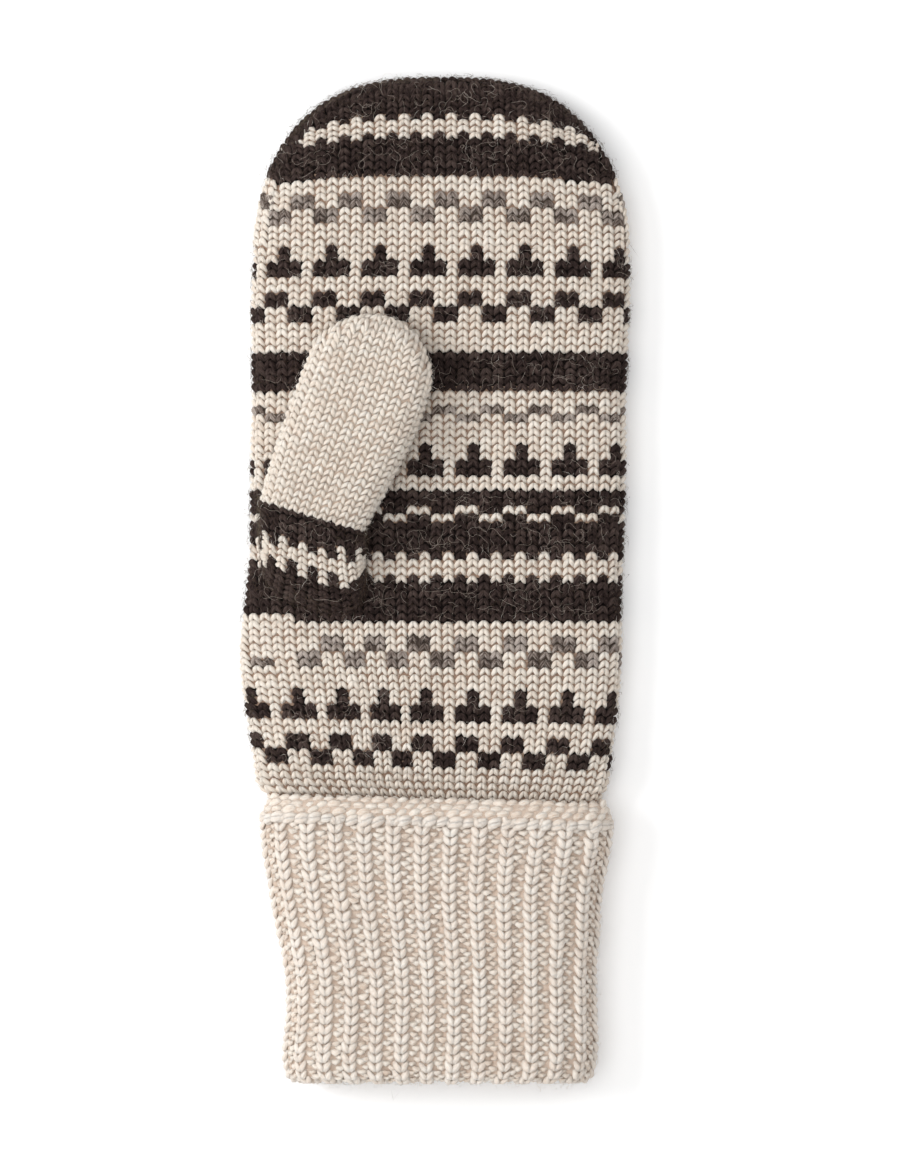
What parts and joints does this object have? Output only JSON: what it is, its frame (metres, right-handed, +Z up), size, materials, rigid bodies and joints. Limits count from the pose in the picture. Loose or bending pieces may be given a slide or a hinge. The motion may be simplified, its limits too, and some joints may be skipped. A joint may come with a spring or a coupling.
{
  "type": "knitted mitten",
  "caption": "Knitted wool mitten lying palm up, with a striped and patterned hand, a plain thumb on its gusset and a turned-up ribbed cuff.",
  "frame": {"origin": "middle of the bounding box, on the surface that the back of the hand lies on", "axes": "+Y from the cuff to the fingertips, +Z up out of the palm, +X to the side away from the thumb"},
  "size_m": [0.1058, 0.2722, 0.0293],
  "materials": {
    "cream_wool": "fuzzy undyed wool",
    "dark_wool": "fuzzy dark brown wool",
    "grey_wool": "fuzzy heathered grey wool"
  },
  "bodies": {
    "root": {"hand": "dark_wool", "gusset": "dark_wool", "thumb": "cream_wool", "cuff": "cream_wool", "cuff_edge": "cream_wool"}
  },
  "joints": []
}
